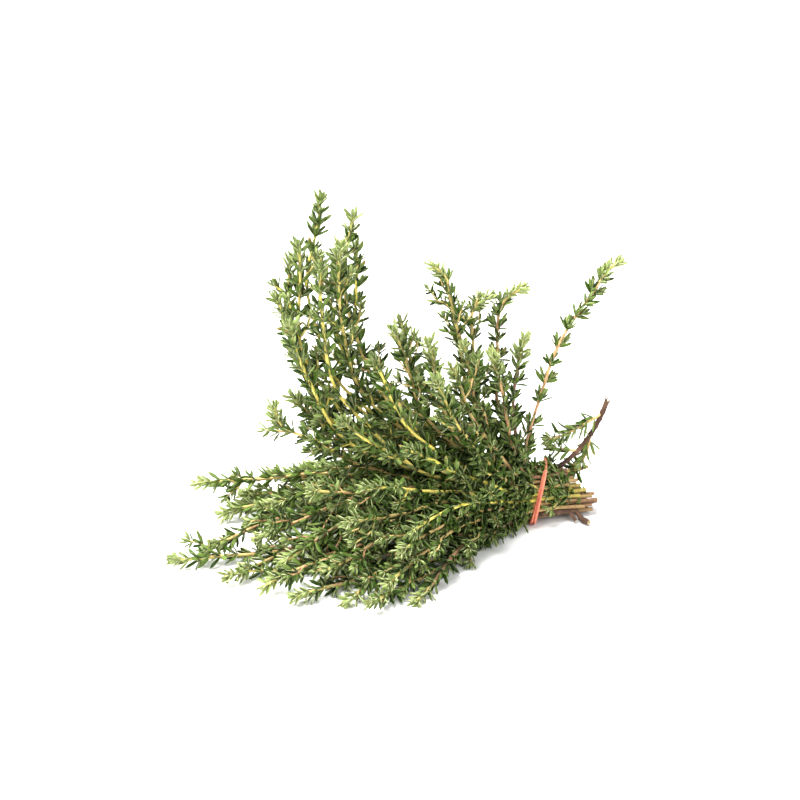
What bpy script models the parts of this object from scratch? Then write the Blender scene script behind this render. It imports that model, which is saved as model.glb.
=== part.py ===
"""Thyme bundle: cut sprigs held by a doubled rubber band.

Half of the sprigs lie in a low fan on the table, the rest arch and rise behind and above them.
Each sprig is one body: a square stem with its leaves raised from the stem's own faces.
+X runs from the leafy tips to the cut ends, +Z is up, and the bundle lies on z = 0.
"""

import math
import random

import bpy
from mathutils import Quaternion, Vector
from mathutils.bvhtree import BVHTree

# Every length below is in millimetres, and the meshes are made in metres.
MM = 0.001

# The middle of the tie, and the shift that brings the bundle's box to the middle of the axes.
TIE = Vector((60.0, 0.0, 12.0))
CENTRING = Vector((4.6, -5.1, 0.0))

# The band is wound at a slant: its near side is closer to the leaves, its top to the cut ends.
SLANT_ACROSS = 0.5
SLANT_UP = 0.25

# Every stem has a slot of its own in the tie, in rows from the table up.
ROW_PITCH = 2.1
COLUMN_PITCH = 2.7
LOWEST_ROW = 2.6

# A stem leaves the tie along -X and turns into its own direction, with a slight wave to it.
TURN_LENGTH = 18.0
WAVE_GROWTH = 60.0
WAVE_ANGLE = 6.0
WAVE_LENGTHS = (38.0, 64.0)
LOWEST_STEM = 1.8

# Towards its tip every stem nods by a few degrees, up for plus. Some nod further.
NOD_LENGTH = 16.0
NOD_RANGE = 14.0
NODS = {
    "floor_sprig_3": 10,
    "pile_sprig_3": 4,
    "arched_sprig_3": 20,
    "arched_sprig_4": 45,
    "rising_sprig_3": -24,
    "steep_sprig_1": 75,
    "steep_sprig_2": -60,
    "top_sprig_1": 60,
}

# The cut ends spread from the tie, the upper ones upwards too, and each strays a little.
SPLAY_LENGTH = 22.0
SPLAY_ACROSS = 0.032
SPLAY_UP = 0.018
STRAY = 0.05

# Stems are square, as in all mints, and taper to the tip.
STEM_AT_CUT = 1.25
STEM_AT_TIP = 1.0
RING_SPACING = 18

# Leaves stand in pairs, each pair square to the next, closer and fuller towards the tip.
LEAF_LENGTH = 6.8
LEAF_WIDTH = 2.6
LEAF_WIDEST = 0.5
LEAF_CURL = 0.4
SIDE_LEAF = 0.75
NODE_HALF = 1
FIRST_GAP = 5.0
GAP_GROWTH = 1.32
WIDEST_GAP = 18.0
BARE_LENGTH = 20
FULL_NODES = 3

# A leaf leans off its stem and swings sideways by the first of these angles that keeps it clear.
LEANS = (52, 42, 62, 34)
SWINGS = (0, 22, -22, 40, -40)
CLEARANCE = 0.35
LOWEST_LEAF = 0.25

# A blade's corners: its root's four, then its two widest points and its tip.
BLADE_FACES = ((0, 1, 6), (0, 6, 4), (1, 5, 6), (2, 3, 6), (3, 4, 6), (2, 6, 5), (3, 0, 4), (1, 2, 5))
ROOT_FACE = (0, 3, 2, 1)

# Each sprig: its heading leaving the tie and at the tip (0 is along -X, plus turns towards -Y), its rise
# above level leaving the tie, half way and at the tip, in degrees, then its length beyond the tie and
# the length of its cut end. A row runs from the far side of the bundle to the near side.
ROWS = (
    ("floor_sprig", "deep_green", (
        (-21, -24, 0, -1, 2, 128, 22),
        (-11, -16, 0, -1, 2, 124, 27),
        (0, -3, 0, -1, 4, 160, 20),
        (12, 0, 0, -1, 4, 143, 28),
        (20, 17, 0, -1, 3, 127, 24),
        (31, 31, 0, -1, 3, 111, 26),
    )),
    ("low_sprig", "deep_green", (
        (-36, -34, 8, 0, -8, 112, 15),
        (-26, -26, 8, 2, -10, 128, 22),
        (-16, -20, 8, 1, -8, 136, 18),
        (-9, 2, 8, 4, -10, 148, 27),
        (-1, 9, 8, 3, -14, 136, 21),
        (7, 17, 8, 2, -12, 134, 28),
        (23, 25, 8, 0, -10, 112, 25),
        (34, 38, 7, 0, -12, 92, 28),
    )),
    ("pile_sprig", "soft_green", (
        (-36, -34, 15, 4, -8, 104, 12),
        (-28, -27, 14, 3, -8, 118, 16),
        (-20, -24, 14, 4, -9, 148, 14),
        (-12, -16, 14, 8, -16, 120, 20),
        (-4, 2, 14, 9, -22, 128, 26),
        (5, 8, 14, 7, -22, 124, 22),
        (15, 18, 14, 7, -22, 112, 27),
        (26, 32, 14, 5, -20, 98, 21),
    )),
    ("arched_sprig", "soft_green", (
        (-28, -28, 18, 26, 38, 100, 13),
        (-20, -20, 16, 22, 30, 106, 15),
        (-11, -11, 16, 24, 44, 122, 12),
        (-2, 0, 16, 24, 37, 135, 18),
        (8, 8, 18, 17, 8, 112, 20),
        (17, 18, 18, 13, 0, 104, 24),
        (27, 30, 18, 9, -8, 90, 17),
    )),
    ("rising_sprig", "bright_green", (
        (-24, -24, 22, 36, 72, 124, 11),
        (-18, -8, 19, 37, 94, 170, 14),
        (-12, 0, 18, 35, 84, 162, 13),
        (-4, 6, 18, 33, 78, 156, 17),
        (8, 8, 22, 29, 44, 110, 15),
        (17, 18, 23, 20, 14, 98, 21),
        (28, 30, 24, 14, 0, 84, 18),
    )),
    ("tall_sprig", "bright_green", (
        (-20, -20, 26, 50, 94, 148, 11),
        (-16, -18, 21, 49, 104, 185, 10),
        (-9, -10, 20, 41, 98, 176, 15),
        (-1, -4, 21, 43, 96, 166, 13),
        (10, 12, 27, 42, 66, 118, 18),
        (22, 22, 30, 32, 30, 86, 14),
    )),
    ("upright_sprig", "bright_green", (
        (-18, -24, 32, 50, 74, 100, 9),
        (-11, -20, 25, 53, 98, 165, 22),
        (-4, -10, 24, 47, 98, 161, 10),
        (4, -2, 29, 50, 78, 112, 14),
        (12, 10, 33, 55, 78, 102, 16),
        (22, 20, 39, 50, 62, 92, 12),
    )),
    ("steep_sprig", "soft_green", (
        (-14, -24, 50, 74, 92, 99, 9),
        (-5, -8, 50, 72, 84, 118, 12),
        (5, 1, 44, 66, 76, 82, 11),
        (12, 12, 50, 58, 66, 81, 9),
    )),
    ("top_sprig", "soft_green", (
        (-8, -20, 60, 84, 98, 98, 8),
        (-3, -10, 76, 86, 96, 70, 42),
        (0, -2, 98, 112, 130, 109, 10),
        (8, 10, 70, 74, 80, 70, 8),
    )),
)

# The near sprig of the second row has a cut end that snapped and hangs down to the table.
SNAPPED = "low_sprig_8"
SNAP_AT = 18
SNAP_TURN = Vector((0.25, -0.72, -0.65))

# One sprig of the top row is old wood, and its cut end bends up to this rise. Three shoots stand on it:
# distance from the cut, heading, and rise leaving the wood, half way and at the tip, then length.
WOODY = "top_sprig_2"
WOODY_AT_CUT = 2.0
WOODY_LEVEL = 3
WOODY_RISE = 70.0
SHOOTS = (
    (6, 4, -20, -18, 4, 27),
    (16, 10, -80, -72, -30, 14),
    (25, -14, 8, 10, 20, 12),
)
SHOOT_WIDTHS = (1.1, 0.9)
SHOOT_GAP = 6.0
SHOOT_BARE = 4

# The band: one loop wound twice round the stems, with a half twist to each turn, so its strands lie
# side by side under the bundle and one on the other over it. Its underside is pressed flat. It has
# slipped a little from the stems' slots towards the leaves.
BAND_STRAND = 1.1
BAND_SLIPPED = 0.8
BAND_OFF_SLOTS = 2.4
BAND_SPACING = 0.8
BAND_STEPS = 52

# Each finish: its base colour and its roughness.
COLOURS = {
    "deep_green": ((0.085, 0.135, 0.035), 0.6),
    "soft_green": ((0.120, 0.180, 0.050), 0.6),
    "bright_green": ((0.190, 0.240, 0.050), 0.55),
    "coral_rubber": ((0.720, 0.150, 0.080), 0.45),
}


def smooth_step(t):
    """Goes from 0 to 1 without a kink as t does."""
    t = min(1.0, max(0.0, t))
    return t * t * (3 - 2 * t)


def bend(start, half, tip, t):
    """The value at t of a smooth bend that starts, passes half way and ends as given."""
    return start * (1 - t) * (1 - 2 * t) + 4 * half * t * (1 - t) + tip * t * (2 * t - 1)


def direction(heading, rise):
    """The unit vector of a heading and a rise in degrees."""
    heading = math.radians(heading)
    rise = math.radians(rise)
    level = math.cos(rise)
    return Vector((-math.cos(heading) * level, -math.sin(heading) * level, math.sin(rise)))


def slot_of(row, column, count):
    """Where a stem passes through the slanted plane of the band."""
    across = -(column - (count - 1) / 2) * COLUMN_PITCH
    up = LOWEST_ROW + row * ROW_PITCH
    along = TIE.x + SLANT_ACROSS * across + SLANT_UP * (up - TIE.z)
    return Vector((along, TIE.y + across, up))


def cut_side(name, slot, length, stray):
    """The points of a cut end, a millimetre apart, from the slot to the cut."""
    points = [slot]
    for step in range(1, length + 1):
        spread = smooth_step(step / SPLAY_LENGTH)
        across = slot.y * SPLAY_ACROSS + stray[0]
        up = max(0.0, slot.z - TIE.z) * SPLAY_UP + stray[1]
        heading = Vector((1.0, across * spread, up * spread))
        if name == SNAPPED and step > SNAP_AT:
            heading = SNAP_TURN
        if name == WOODY:
            bent = max(0, step - WOODY_LEVEL) / (length - WOODY_LEVEL)
            heading = direction(180, WOODY_RISE * math.sqrt(bent))
        point = points[-1] + heading.normalized()
        point.z = max(point.z, LOWEST_STEM)
        points.append(point)
    return points


def leafy_side(slot, plan, wave, nod):
    """The points of a stem beyond the tie, a millimetre apart, from the slot to the nodding tip."""
    heading_tie, heading_tip, rise_tie, rise_half, rise_tip, length, _ = plan
    phase_across, phase_up, wave_length = wave
    points = [slot]
    for step in range(length):
        t = (step + 0.5) / length
        turned = smooth_step((step + 0.5) / TURN_LENGTH)
        rise = bend(rise_tie, rise_half, rise_tip, smooth_step(t))
        heading = heading_tie + (heading_tip - heading_tie) * t
        turn = 2 * math.pi * step / wave_length
        wave_angle = WAVE_ANGLE * smooth_step(step / WAVE_GROWTH)
        heading += wave_angle * math.sin(turn + phase_across)
        rise += wave_angle * math.sin(turn + phase_up)
        rise += nod * smooth_step((step - length) / NOD_LENGTH + 1)
        point = points[-1] + direction(heading * turned, rise * turned)
        point.z = max(point.z, LOWEST_STEM)
        points.append(point)
    return points


def sprig_paths():
    """Every sprig's name, colour, points from cut to tip and how far from the cut the tie holds it."""
    paths = []
    for row, (row_name, colour, plans) in enumerate(ROWS):
        for column, plan in enumerate(plans):
            name = f"{row_name}_{column + 1}"
            draw = random.Random(100 * row + column)
            wave = (draw.uniform(0, 6.28), draw.uniform(0, 6.28), draw.uniform(*WAVE_LENGTHS))
            stray = (draw.uniform(-STRAY, STRAY), draw.uniform(-STRAY, STRAY))
            nod = NODS.get(name, draw.uniform(-NOD_RANGE, NOD_RANGE))
            slot = slot_of(row, column, len(plans))
            cut = cut_side(name, slot, plan[-1], stray)
            paths.append((name, colour, cut[:0:-1] + leafy_side(slot, plan, wave, nod), len(cut) - 1))
    return paths


def frames_along(points, spin):
    """The tangent, side and outward vectors at each point, carried along without twisting."""
    tangent = (points[1] - points[0]).normalized()
    side = Quaternion(tangent, spin) @ tangent.orthogonal().normalized()
    frames = []
    for index in range(len(points)):
        ahead = points[min(index + 1, len(points) - 1)]
        behind = points[max(index - 1, 0)]
        turned = (ahead - behind).normalized()
        side = (tangent.rotation_difference(turned) @ side).normalized()
        tangent = turned
        frames.append((tangent, side, tangent.cross(side)))
    return frames


def node_places(bare_until, last, widest_gap):
    """Where leaf pairs stand, as distances from the start, from the tip back to the bare stem."""
    places = []
    gap = FIRST_GAP
    place = last - 2 * NODE_HALF
    while place > bare_until:
        places.append(round(place))
        place -= gap
        gap = min(gap * GAP_GROWTH, widest_gap)
    return places


def ring_places(nodes, last, tie):
    """The distances from the cut at which the stem has a ring of corners."""
    places = {0, last}
    for node in nodes:
        places |= {node - NODE_HALF, node + NODE_HALF}
    first = min(places - {0})
    bare = max(1, round(first / RING_SPACING))
    places |= {round(first * step / bare) for step in range(bare)}
    places.add(tie)
    return sorted(places)


def stem_of(points, frames, places, nodes, widths):
    """A square stem's corners, its faces, and the faces at its nodes that can carry a leaf."""
    vertices = []
    for place in places:
        _, side, outward = frames[place]
        half = (widths[0] + (widths[1] - widths[0]) * place / places[-1]) / 2
        for across, out in ((1, -1), (1, 1), (-1, 1), (-1, -1)):
            vertices.append(points[place] + (side * across + outward * out) * half)
    faces = [(3, 2, 1, 0)]
    roots = {}
    for ring, place in enumerate(places[:-1]):
        for corner in range(4):
            left = 4 * ring + corner
            right = 4 * ring + (corner + 1) % 4
            face = (left, right, right + 4, left + 4)
            if place + NODE_HALF in nodes:
                roots[place + NODE_HALF, corner] = face
            else:
                faces.append(face)
    bud = len(vertices)
    vertices.append(points[-1] + frames[-1][0] * widths[1])
    faces += [(bud - 4 + corner, bud - 4 + (corner + 1) % 4, bud) for corner in range(4)]
    return vertices, faces, roots


def blade_points(root, outward, along, lean, swing, size):
    """A leaf's two widest points and its tip, from the four corners of its root."""
    middle = (root[0] + root[1] + root[2] + root[3]) / 4
    side = (root[1] - root[0]).normalized()
    lean = math.radians(lean)
    axis = along * math.cos(lean) + outward * math.sin(lean)
    axis = Quaternion(axis.cross(side), math.radians(swing)) @ axis
    side = (side - axis * side.dot(axis)).normalized()
    widest = middle + axis * LEAF_LENGTH * size * LEAF_WIDEST
    reach = side * LEAF_WIDTH * size / 2
    curl = (along - outward) * LEAF_CURL * size
    return [widest - reach, widest + reach, middle + axis * LEAF_LENGTH * size + curl]


def grown_tree(root, blade):
    """A search tree of a blade grown on all sides by the clearance it must keep."""
    axis = (blade[2] - (root[0] + root[2]) / 2).normalized() * CLEARANCE
    side = (blade[1] - blade[0]).normalized() * CLEARANCE
    face = side.cross(axis).normalized() * CLEARANCE
    points = [root[0] - face, root[1] - face, root[2] + face, root[3] + face]
    points += [blade[0] - side, blade[1] + side, blade[2] + axis]
    return BVHTree.FromPolygons(points, BLADE_FACES + (ROOT_FACE,))


def fitted_blade(root, outward, along, size, neighbours):
    """The leaf at the first lean and swing that keep it clear, a smaller one, or None."""
    for share in (1.0, 0.8):
        for swing in SWINGS:
            for lean in LEANS:
                blade = blade_points(root, outward, along, lean, swing, size * share)
                if min(point.z for point in blade) < LOWEST_LEAF:
                    continue
                grown = grown_tree(root, blade)
                if not any(grown.overlap(other) for other in neighbours):
                    return blade
    return None


def add_leaves(stem, frames, nodes, neighbours):
    """Raises the leaves from the stem's faces, bent clear of what is already there."""
    vertices, faces, roots = stem
    own = []
    for count, node in enumerate(nodes):
        along, side, outward = frames[node]
        normals = (side, outward, -side, -outward)
        placed = []
        for corner in range(4):
            face = roots[node, corner]
            paired = corner % 2 == count % 2
            blade = None
            if paired or count < FULL_NODES:
                root = [vertices[index] for index in face]
                size = 1.0 if paired else SIDE_LEAF
                blade = fitted_blade(root, normals[corner], along, size, neighbours + own)
            if blade is None:
                faces.append(face)
                continue
            corners = list(face) + [len(vertices) + index for index in range(3)]
            vertices.extend(blade)
            faces.extend(tuple(corners[index] for index in blade_face) for blade_face in BLADE_FACES)
            placed.append(BVHTree.FromPolygons(root + blade, BLADE_FACES))
        own += placed


def material_of(name):
    """A plain material of the named colour."""
    colour, roughness = COLOURS[name]
    material = bpy.data.materials.new(name)
    material.use_nodes = True
    shader = material.node_tree.nodes["Principled BSDF"]
    shader.inputs["Base Color"].default_value = (*colour, 1.0)
    shader.inputs["Roughness"].default_value = roughness
    shader.inputs["Metallic"].default_value = 0.0
    return material


def add_object(name, vertices, faces, material):
    """A mesh object in metres, moved so that the whole bundle is centred."""
    mesh = bpy.data.meshes.new(name)
    mesh.from_pydata([(point + CENTRING) * MM for point in vertices], [], faces)
    mesh.materials.append(material)
    mesh.update()
    made = bpy.data.objects.new(name, mesh)
    bpy.context.scene.collection.objects.link(made)
    return made


def make_sprigs(materials, band_tree):
    """Every sprig of the rows, leaf by leaf from the table up. Returns the search trees of all of them."""
    stems = []
    for name, colour, points, tie in sprig_paths():
        frames = frames_along(points, random.Random(name).uniform(0, math.pi / 2))
        nodes = node_places(tie + BARE_LENGTH, len(points) - 1, WIDEST_GAP)
        places = ring_places(nodes, len(points) - 1, tie)
        widths = (WOODY_AT_CUT if name == WOODY else STEM_AT_CUT, STEM_AT_TIP)
        stem = stem_of(points, frames, places, nodes, widths)
        stems.append((name, colour, stem, frames, nodes))
    trees = [BVHTree.FromPolygons(stem[0], stem[1] + list(stem[2].values())) for _, _, stem, _, _ in stems]
    trees.append(band_tree)
    for index, (name, colour, stem, frames, nodes) in enumerate(stems):
        add_leaves(stem, frames, nodes, trees[:index] + trees[index + 1:])
        trees[index] = BVHTree.FromPolygons(stem[0], stem[1])
        add_object(name, stem[0], stem[1], materials[colour])
    return trees


def shoot_points(start, plan):
    """The points of a shoot on the old wood, a millimetre apart, from inside the wood to the tip."""
    _, heading, rise_start, rise_half, rise_tip, length = plan
    points = [start]
    for step in range(length):
        t = (step + 0.5) / length
        points.append(points[-1] + direction(heading, bend(rise_start, rise_half, rise_tip, t)))
    return points


def make_shoots(trees, materials):
    """Leafy shoots on the woody sprig, joined to it by one Boolean union."""
    wood = bpy.data.objects[WOODY]
    wood_points = next(points for name, _, points, _ in sprig_paths() if name == WOODY)
    shoots = bpy.data.collections.new("shoots")
    for plan in SHOOTS:
        points = shoot_points(wood_points[plan[0]], plan)
        frames = frames_along(points, math.pi / 4)
        nodes = node_places(SHOOT_BARE, len(points) - 1, SHOOT_GAP)
        places = ring_places(nodes, len(points) - 1, 0)
        stem = stem_of(points, frames, places, nodes, SHOOT_WIDTHS)
        add_leaves(stem, frames, nodes, trees)
        trees.append(BVHTree.FromPolygons(stem[0], stem[1]))
        shoots.objects.link(add_object(f"shoot_{plan[0]}", stem[0], stem[1], materials["soft_green"]))
    union = wood.modifiers.new("shoots", "BOOLEAN")
    union.operation = "UNION"
    union.operand_type = "COLLECTION"
    union.collection = shoots
    bpy.context.view_layer.objects.active = wood
    bpy.ops.object.modifier_apply(modifier=union.name)
    for shoot in list(shoots.objects):
        bpy.data.objects.remove(shoot)


def band_corners(turn, slots):
    """The four corners of the strand at an angle round the stems, from under them up the near side."""
    outward = Vector((0.0, -math.sin(turn), -math.cos(turn)))
    held = max(slots, key=outward.dot)
    ridden = BAND_SPACING * (math.sin(turn / 2) + abs(math.sin(turn / 2)))
    corners = []
    for side, out in ((-1, -1), (1, -1), (1, 1), (-1, 1)):
        corner = held + outward * (BAND_OFF_SLOTS + ridden + out * BAND_STRAND / 2)
        corner.z = max(0.0, corner.z)
        corner.x = TIE.x - BAND_SLIPPED + SLANT_ACROSS * corner.y + SLANT_UP * (corner.z - TIE.z)
        corner.x += BAND_SPACING * math.cos(turn / 2) + side * BAND_STRAND / 2
        corners.append(corner)
    return corners


def make_band(materials):
    """The rubber band, a square strand swept twice round the stems and closed on itself."""
    slots = [slot_of(row, column, len(plans)) for row, (_, _, plans) in enumerate(ROWS)
             for column in range(len(plans))]
    vertices = []
    faces = []
    for step in range(BAND_STEPS):
        vertices += band_corners(4 * math.pi * (step + 0.5) / BAND_STEPS, slots)
        following = 4 * ((step + 1) % BAND_STEPS)
        for corner in range(4):
            beside = (corner + 1) % 4
            faces.append((4 * step + beside, 4 * step + corner, following + corner, following + beside))
    add_object("rubber_band", vertices, faces, materials["coral_rubber"])
    return BVHTree.FromPolygons(vertices, faces)


for stale in list(bpy.data.objects):
    bpy.data.objects.remove(stale)
finishes = {name: material_of(name) for name in COLOURS}
sprig_trees = make_sprigs(finishes, make_band(finishes))
make_shoots(sprig_trees, finishes)
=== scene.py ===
"""Thyme bundle, as it looks: fifty-six cut sprigs of thyme lying in a doubled rubber band.

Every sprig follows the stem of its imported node. It gets a grooved square stem, pairs of rolled leaves,
the tufts and side shoots that stand in their axils, and its own shade of bark and leaf.
Lengths are in millimetres until a mesh is finished. +X runs from the leafy tips to the cut ends.
"""

import math
import random

import bmesh
import bpy
import numpy as np
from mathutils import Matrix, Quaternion, Vector


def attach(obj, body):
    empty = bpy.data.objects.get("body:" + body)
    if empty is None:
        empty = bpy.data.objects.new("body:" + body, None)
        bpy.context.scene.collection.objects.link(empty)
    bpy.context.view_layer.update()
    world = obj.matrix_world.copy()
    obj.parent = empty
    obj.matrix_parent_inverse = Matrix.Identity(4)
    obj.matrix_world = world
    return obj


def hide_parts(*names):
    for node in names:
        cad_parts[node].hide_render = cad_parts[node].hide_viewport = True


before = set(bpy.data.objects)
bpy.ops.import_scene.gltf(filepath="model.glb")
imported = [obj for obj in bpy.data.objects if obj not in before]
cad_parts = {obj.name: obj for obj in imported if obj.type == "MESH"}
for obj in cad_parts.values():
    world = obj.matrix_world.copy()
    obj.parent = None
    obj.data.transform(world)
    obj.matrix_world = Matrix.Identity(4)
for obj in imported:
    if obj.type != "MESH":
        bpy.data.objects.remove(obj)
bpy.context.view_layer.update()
MM = 0.001

# ------------------------------------------------------------------------------------------------
# Leaves. A thyme leaf is small, narrow and leathery. Its margins roll under, its midrib lies in a
# groove above and stands out below, and a short stalk joins it to the stem. Four are modelled, each
# one unit long and two across: a leaf of a pair, one that arches back, a tuft's leaf and a bud's.

# Distance along the leaf, then half its width and half its thickness there. The tip closes to a point.
PAIR_LEAF = ((0.0, 0.2, 0.17), (0.3, 0.8, 0.24), (0.58, 1.0, 0.27), (0.84, 0.66, 0.22))
TUFT_LEAF = ((0.0, 0.24, 0.2), (0.4, 0.92, 0.3), (0.76, 0.8, 0.28))
LEAF_TIP = (1.0, 0.05, 0.05)
LEAF_SIDES = 6
LEAST_WIDTH = 0.01

# The rolled section, shaped from a six-sided circle: how far each part of it moves up.
MARGIN_ROLL = -0.9
MIDRIB_GROOVE = -0.75
UNDERSIDE_HOLLOW = 0.6


def shown_and_selected(piece):
    """Makes a piece the only selected one, and the active one."""
    bpy.ops.object.select_all(action="DESELECT")
    piece.select_set(True)
    bpy.context.view_layer.objects.active = piece


def select_points(test):
    """In edit mode, selects the points whose place passes the test, and no others."""
    shape = bmesh.from_edit_mesh(bpy.context.object.data)
    for point in shape.verts:
        point.select = bool(test(point.co))
    shape.select_flush_mode()
    bmesh.update_edit_mesh(bpy.context.object.data)


def modelled_leaf(stations, arch):
    """A closed leaf along +Y with its upper face to +Z. arch is how far its tip drops."""
    bpy.ops.object.select_all(action="DESELECT")
    turned = (-math.pi / 2, 0.0, 0.0)
    bpy.ops.mesh.primitive_circle_add(vertices=LEAF_SIDES, radius=1, fill_type="NGON", rotation=turned)
    leaf = bpy.context.object
    bpy.ops.object.transform_apply(location=True, rotation=True, scale=True)
    bpy.ops.object.mode_set(mode="EDIT")
    bpy.ops.mesh.select_mode(type="VERT")
    select_points(lambda place: abs(place.x) > 0.8 and place.z < 0.1)
    bpy.ops.transform.translate(value=(0, 0, MARGIN_ROLL))
    select_points(lambda place: abs(place.x) < 0.1 and place.z > 0)
    bpy.ops.transform.translate(value=(0, 0, MIDRIB_GROOVE))
    select_points(lambda place: abs(place.x) < 0.1 and place.z < 0)
    bpy.ops.transform.translate(value=(0, 0, UNDERSIDE_HOLLOW))
    bpy.ops.mesh.select_all(action="SELECT")
    _, wide, thick = stations[0]
    bpy.ops.transform.resize(value=(wide, 1, thick), center_override=(0, 0, 0))
    along, drop = 0.0, 0.0
    for further, wider, thicker in stations[1:] + (LEAF_TIP,):
        lower = -arch * further ** 2
        step = {"value": (0, further - along, lower - drop)}
        bpy.ops.mesh.extrude_region_move(TRANSFORM_OT_translate=step)
        size = (wider / wide, 1, thicker / thick)
        bpy.ops.transform.resize(value=size, center_override=(0, further, lower))
        along, drop, wide, thick = further, lower, wider, thicker
    bpy.ops.mesh.merge(type="CENTER")
    bpy.ops.mesh.select_all(action="SELECT")
    bpy.ops.mesh.normals_make_consistent(inside=False)
    bpy.ops.object.mode_set(mode="OBJECT")
    return leaf


def pattern_of(leaf):
    """A modelled leaf as lists to copy: its points, faces, places across and along it, and upper side.

    An extrusion gives its faces in no fixed order, so they are sorted to come out the same each run.
    """
    mesh = leaf.data
    points = np.array([point.co for point in mesh.vertices])
    faces = sorted(tuple(face.vertices) for face in mesh.polygons)
    widest = {}
    for x, y, _ in points:
        widest[round(y, 3)] = max(widest.get(round(y, 3), LEAST_WIDTH), abs(x))
    across = np.array([0.5 + 0.5 * x / widest[round(y, 3)] for x, y, _ in points])
    upper = np.array([min(1.0, max(0.0, 0.5 + point.normal.z)) for point in mesh.vertices])
    bpy.data.objects.remove(leaf)
    return points, faces, across, points[:, 1].copy(), upper


LEAVES = {
    "pair": pattern_of(modelled_leaf(PAIR_LEAF, 0.35)),
    "arched": pattern_of(modelled_leaf(PAIR_LEAF, 1.3)),
    "tuft": pattern_of(modelled_leaf(TUFT_LEAF, 0.3)),
    "bud": pattern_of(modelled_leaf(TUFT_LEAF, -0.7)),
}

# ------------------------------------------------------------------------------------------------
# The leaf's finish. Its upper side is deep green and leathery, pricked with oil glands. The rolled
# margins and the midrib are paler, the more so the younger the leaf: their whitish green is partly a
# painted highlight in place of gloss, and its fading on older leaves is painted shade inside the bundle.
# The felted underside is paler too, and young leaves are yellow-green.

# What every point of a sprig carries: the chance tone of its leaf or stem, how young it is, and on a leaf
# how far it faces up, or on a stem how near it is to a knot.
MEASURES = ("tone", "youth", "upper")

# Each group of sprigs mixes its leaves from a dark and a light green.
LEAF_SHADES = {
    "deep_green": ((0.003, 0.017, 0.001), (0.042, 0.110, 0.005)),
    "soft_green": ((0.003, 0.018, 0.001), (0.050, 0.120, 0.006)),
    "bright_green": ((0.004, 0.020, 0.001), (0.060, 0.130, 0.007)),
}
UNDERSIDE = (0.070, 0.130, 0.014)
# A whitish pale green for margins, midrib and veins, partly the leaf's own and partly a painted highlight.
PALE_AND_PAINTED_HIGHLIGHT = (0.640, 0.680, 0.360)
YOUNG = (0.400, 0.475, 0.160)
STALK = (0.420, 0.430, 0.130)
DRIED = (0.300, 0.190, 0.070)
GLAND_SHADE = (0.020, 0.035, 0.008)
GLAND_SCALE = 2600.0
GLAND_DEPTH = 0.00004
MOTTLE_SCALE = 420.0
SHEEN_SCALE = 900.0
GRAIN_SCALE = 1600.0
LEAF_SPECULAR = 0.05

# Where the midrib ends and the rolled rim starts, from the middle of the blade at 0 to its margin at 1.
MIDRIB_SPAN = (0.05, 0.22)
RIM_SPAN = (0.84, 1.0)
VEIN_COUNT = 9.0
VEIN_SLANT = -1.3

# The share of its own shade that each mark lays over the leaf.
# Old leaves keep only this share of their pale margins and midrib, as painted shade for the inner leaves.
# The rim's share is partly a painted highlight.
OLD_LEAF_SHADED_PALLOR = 0.25
RIM_AND_HIGHLIGHT_SHARE = 0.7
MIDRIB_SHARE = 0.25
MIDRIB_SHARE_BELOW = 0.6
VEIN_SHARE = 0.08
GLAND_SHARE = 0.35
YOUNG_SHARE = 0.85
PALE_SHARE = 0.4
STALK_SHARE = 0.8


def linked(tree, kind, **inputs):
    """A node of a kind. Each input is a value, or another node's output socket."""
    node = tree.nodes.new(kind)
    for name, given in inputs.items():
        socket = node.inputs[int(name[1:])] if name[1:].isdigit() else node.inputs[name.replace("_", " ")]
        if isinstance(given, bpy.types.NodeSocket):
            tree.links.new(given, socket)
        else:
            socket.default_value = given
    return node


def maths(tree, operation, first, second=0.0, third=0.0):
    """The output of a Math node."""
    node = linked(tree, "ShaderNodeMath", _0=first, _1=second, _2=third)
    node.operation = operation
    return node.outputs[0]


def times(tree, first, second):
    """The output of a Math node that multiplies."""
    return maths(tree, "MULTIPLY", first, second)


def stepped(tree, given, low, high, start=0.0, end=1.0):
    """The output of a smooth step from start to end as a value goes from low to high."""
    node = linked(tree, "ShaderNodeMapRange", _0=given, _1=low, _2=high, _3=start, _4=end)
    node.interpolation_type = "SMOOTHSTEP"
    return node.outputs[0]


def mixed(tree, share, first, second):
    """The colour that is a share of the way from the first to the second."""
    node = tree.nodes.new("ShaderNodeMix")
    node.data_type = "RGBA"
    for socket, given in zip((node.inputs[0], node.inputs[6], node.inputs[7]), (share, first, second)):
        if isinstance(given, bpy.types.NodeSocket):
            tree.links.new(given, socket)
        elif isinstance(given, tuple):
            socket.default_value = (*given, 1.0)
        else:
            socket.default_value = given
    return node.outputs[2]


def measure(tree, name):
    """The output of one of a sprig's own measures."""
    node = tree.nodes.new("ShaderNodeAttribute")
    node.attribute_name = name
    return node.outputs["Fac"]


def wrap_of(tree):
    """The output of a sprig's own map: across and along a leaf, or round and along a stem."""
    node = tree.nodes.new("ShaderNodeUVMap")
    node.uv_map = "wrap"
    return node.outputs["UV"]


def noise(tree, scale, detail=2.0, **inputs):
    """The output of noise over the piece's own coordinates, or over another vector."""
    node = linked(tree, "ShaderNodeTexNoise", Scale=scale, Detail=detail, **inputs)
    if "Vector" not in inputs:
        place = tree.nodes.new("ShaderNodeTexCoord")
        tree.links.new(place.outputs["Object"], node.inputs["Vector"])
    return node.outputs["Fac"]


def pattern_group(name, colours=()):
    """A node group that takes colours and gives colour, roughness and height, and its two end nodes."""
    group = bpy.data.node_groups.new(name, "ShaderNodeTree")
    for colour in colours:
        group.interface.new_socket(colour, in_out="INPUT", socket_type="NodeSocketColor")
    for output, kind in (("Colour", "Color"), ("Roughness", "Float"), ("Height", "Float")):
        group.interface.new_socket(output, in_out="OUTPUT", socket_type=f"NodeSocket{kind}")
    return group, group.nodes.new("NodeGroupInput"), group.nodes.new("NodeGroupOutput")


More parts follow.
